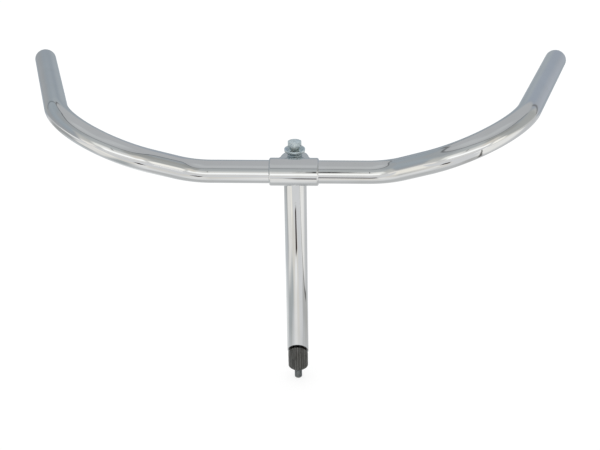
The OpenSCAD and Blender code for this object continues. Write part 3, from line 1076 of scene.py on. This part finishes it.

# The table that the part stood over, the sheets on it and the part's own shadows painted on it, in
# centimetres from the stem's axis
TABLE_Z = -0.41
TABLE_RADIUS = 2.3
TABLE_TONE = (0.73, 0.735, 0.74)
TABLE_GRAIN_SCALE = 3.0
TABLE_GRAIN_SHARES = (0.97, 1.03)
CM_PER_METRE = 100.0
TABLE_CARDS = (
    ("left floor", -125, 25, 0, 75, 45, 20, (0.39, 0.40, 0.40), 1.0),
    ("left back", -50, 32, 25, 30, 20, 12, (0.59, 0.62, 0.64), 0.9),
    ("behind the table", 0, 190, 0, 240, 95, 30, (0.38, 0.42, 0.46), 1.0),
    ("front sheet", -5, -80, 0, 62, 45, 10, (0.73, 0.735, 0.74), 0.9),
    ("front edge", 0, -155, 0, 90, 20, 12, (0.73, 0.715, 0.69), 0.9),
    ("beyond the edge", 0, -208, 0, 120, 30, 10, (0.92, 0.90, 0.87), 1.0),
    # Painted shadow: the bar's own shadow on the table, a soft darker patch right below the bar.
    ("shadow under the bar", 3, 6, 0, 30, 20, 14, (0.52, 0.53, 0.53), 0.9),
    ("cream sheet", -14, -48, 8, 30, 17, 7, (0.77, 0.745, 0.69), 0.9),
    ("left card", -76, -43, -25, 28, 36, 10, (0.89, 0.875, 0.84), 1.0),
    ("left card, inner", -48, -38, -20, 14, 36, 8, (0.85, 0.835, 0.80), 0.95),
    ("left shade", -33, -17, 12, 9, 22, 7, (0.40, 0.43, 0.44), 0.9),
    ("left band", -110, -95, 30, 80, 8, 6, (0.98, 0.95, 0.87), 1.0),
    ("right card", 128, -26, 24, 75, 75, 5, (0.94, 0.93, 0.90), 1.0),
    ("right back", 120, 52, 10, 100, 36, 18, (0.57, 0.58, 0.59), 0.9),
    ("right shade", 36, 2, 10, 7, 22, 6, (0.45, 0.45, 0.44), 0.9),
    ("right band", 95, -110, -41, 50, 6, 5, (1.02, 1.01, 0.99), 1.0),
    ("white behind", -31, 27, 35, 5, 12, 4, (0.92, 0.94, 0.93), 1.0),
    ("sheet under the collar", -6, -31, 0, 7, 15, 6, (0.88, 0.88, 0.87), 0.75),
    ("paper by the patch", -2, -48, 0, 9, 5, 4, (0.95, 0.95, 0.94), 0.9),
    ("dark patch", 3, -64.5, -6, 7.5, 10.5, 1.4, (0.05, 0.035, 0.035), 1.0),
)

# Thin lines on the table: name, points, half width, edge, tone and strength
TABLE_LINES = (
    ("edge of the right card",
     ((39.5, 12), (43, -3), (50, -25), (56, -40), (64, -57), (72, -77), (82, -97), (92, -120)),
     1.4, 1, (0.08, 0.075, 0.07), 0.9),
    ("front edge of the table", ((-160, -205), (-60, -180), (10, -160), (60, -130), (100, -118)),
     2.5, 3, (0.30, 0.30, 0.30), 0.6),
    ("bar's own shade, left", ((-46, -16), (-32, -14), (-19, -8), (-9, -9)),
     0.9, 0.9, (0.28, 0.28, 0.27), 0.6),
    ("bar's own shade, right", ((6, -6), (12, -16), (22, -14), (34, -14)),
     0.9, 0.9, (0.28, 0.28, 0.27), 0.6),
)


def make_table():
    """The table as metal sees it: it is hidden from the camera and gives no light."""
    table = make_disc("table seen by metal", TABLE_RADIUS, TABLE_Z)
    material, tree, surface = blank_material("table and sheets")
    place = add_node(tree, "ShaderNodeTexCoord").outputs["Object"]
    parts = add_node(tree, "ShaderNodeSeparateXYZ", (("Vector", place),)).outputs
    across = times(tree, parts["X"], CM_PER_METRE)
    up = times(tree, parts["Y"], CM_PER_METRE)
    darker, lighter = (tuple(share * part for part in TABLE_TONE) for share in TABLE_GRAIN_SHARES)
    tone = blend(tree, noise(tree, place, TABLE_GRAIN_SCALE), darker, lighter)
    tone = lay_cards(tree, tone, TABLE_CARDS, across, up)
    for line in TABLE_LINES:
        tone = lay_line(tree, tone, line, across, up)
    glow = add_node(tree, "ShaderNodeEmission", (("Color", tone),))
    tree.links.new(glow.outputs["Emission"], surface)
    dress(table, material)
    table.visible_camera = False
    table.visible_diffuse = False
    table.visible_transmission = False
    table.visible_volume_scatter = False
    table.visible_shadow = False


def make_room():
    """The studio as a world: white behind, even light on the part, its cards for what metal shows."""
    world = bpy.data.worlds.new("studio room")
    bpy.context.scene.world = world
    world.use_nodes = True
    tree = world.node_tree
    tree.nodes.clear()
    out = add_node(tree, "ShaderNodeOutputWorld")
    heading = add_node(tree, "ShaderNodeTexCoord").outputs["Generated"]
    parts = add_node(tree, "ShaderNodeSeparateXYZ", (("Vector", heading),)).outputs
    up = value_node(tree, "DEGREES", value_node(tree, "ARCSINE", parts["Z"]))
    across = value_node(tree, "ARCTAN2", parts["X"], times(tree, parts["Y"], -1))
    across = value_node(tree, "DEGREES", across)
    stops = [((height + 90) / 180, tone) for height, tone in ROOM_HEIGHTS]
    colour = ramp_node(tree, added(tree, 0.5, up, 1 / 180), stops, "EASE")
    colour = lay_cards(tree, colour, ROOM_CARDS, across, up)
    stops = [((turn + 180) / 360, (height / 90,) * 3) for turn, height in CEILING_EDGE]
    edge = ramp_node(tree, added(tree, 0.5, across, 1 / 360), stops, "LINEAR")
    over_edge = value_node(tree, "SUBTRACT", up, times(tree, edge, 90))
    ceiling = faded(tree, over_edge, -CEILING_EDGE_SOFTNESS, CEILING_EDGE_SOFTNESS)
    ceiling_tone = lay_cards(tree, CEILING_TONE, CEILING_CARDS, across, up)
    colour = blend(tree, ceiling, colour, ceiling_tone)
    line = faded(tree, value_node(tree, "ABSOLUTE", over_edge), CEILING_LINE_OUTSIDE,
                 CEILING_LINE_INSIDE)
    start, full, fades, gone = CEILING_LINE_ENDS
    ends = times(tree, faded(tree, across, start, full), faded(tree, across, gone, fades))
    line = times(tree, line, ends)
    colour = tinted(tree, colour, line, CEILING_LINE_STRENGTH, CEILING_LINE_TONE)
    room = add_node(tree, "ShaderNodeBackground", (("Color", colour),)).outputs["Background"]
    plain = add_node(tree, "ShaderNodeBackground", (("Color", WHITE),)).outputs["Background"]
    path = add_node(tree, "ShaderNodeLightPath").outputs
    seen = choose_shader(tree, path["Is Glossy Ray"], plain, room)
    tree.links.new(seen, out.inputs["Surface"])


# Where the camera stood, in millimetres, and how it was held
CAMERA_PLACE = Vector((51.3, -924.2, 432.3)) * MM
CAMERA_DOWN = math.radians(27.6)
CAMERA_YAW = -0.051136
CAMERA_ROLL = -0.014838
LENS = 63
SENSOR = 36
PICTURE_WIDTH = 600
CENTRE_DROP = 2
NEAREST = 0.01
FARTHEST = 100


def make_camera():
    """The camera of the photograph."""
    yaw = Matrix.Rotation(CAMERA_YAW, 3, "Z")
    to_camera = Matrix(((1, 0, 0), (0, 0, -1), (0, 1, 0)))
    tilt = Matrix.Rotation(CAMERA_DOWN, 3, "X")
    roll = Matrix.Rotation(CAMERA_ROLL, 3, "Z")
    seen = roll @ tilt @ to_camera @ yaw
    data = bpy.data.cameras.new("camera")
    data.lens = LENS
    data.sensor_width = SENSOR
    data.sensor_fit = "HORIZONTAL"
    data.clip_start = NEAREST
    data.clip_end = FARTHEST
    data.shift_y = CENTRE_DROP / PICTURE_WIDTH
    camera = bpy.data.objects.new("camera", data)
    bpy.context.scene.collection.objects.link(camera)
    turn = Matrix((seen[0], -seen[1], -seen[2])).transposed()
    camera.matrix_world = Matrix.Translation(CAMERA_PLACE) @ turn.to_4x4()
    bpy.context.scene.camera = camera


make_floor()
make_table()
make_room()
make_camera()
bpy.context.scene.view_settings.view_transform = "Standard"
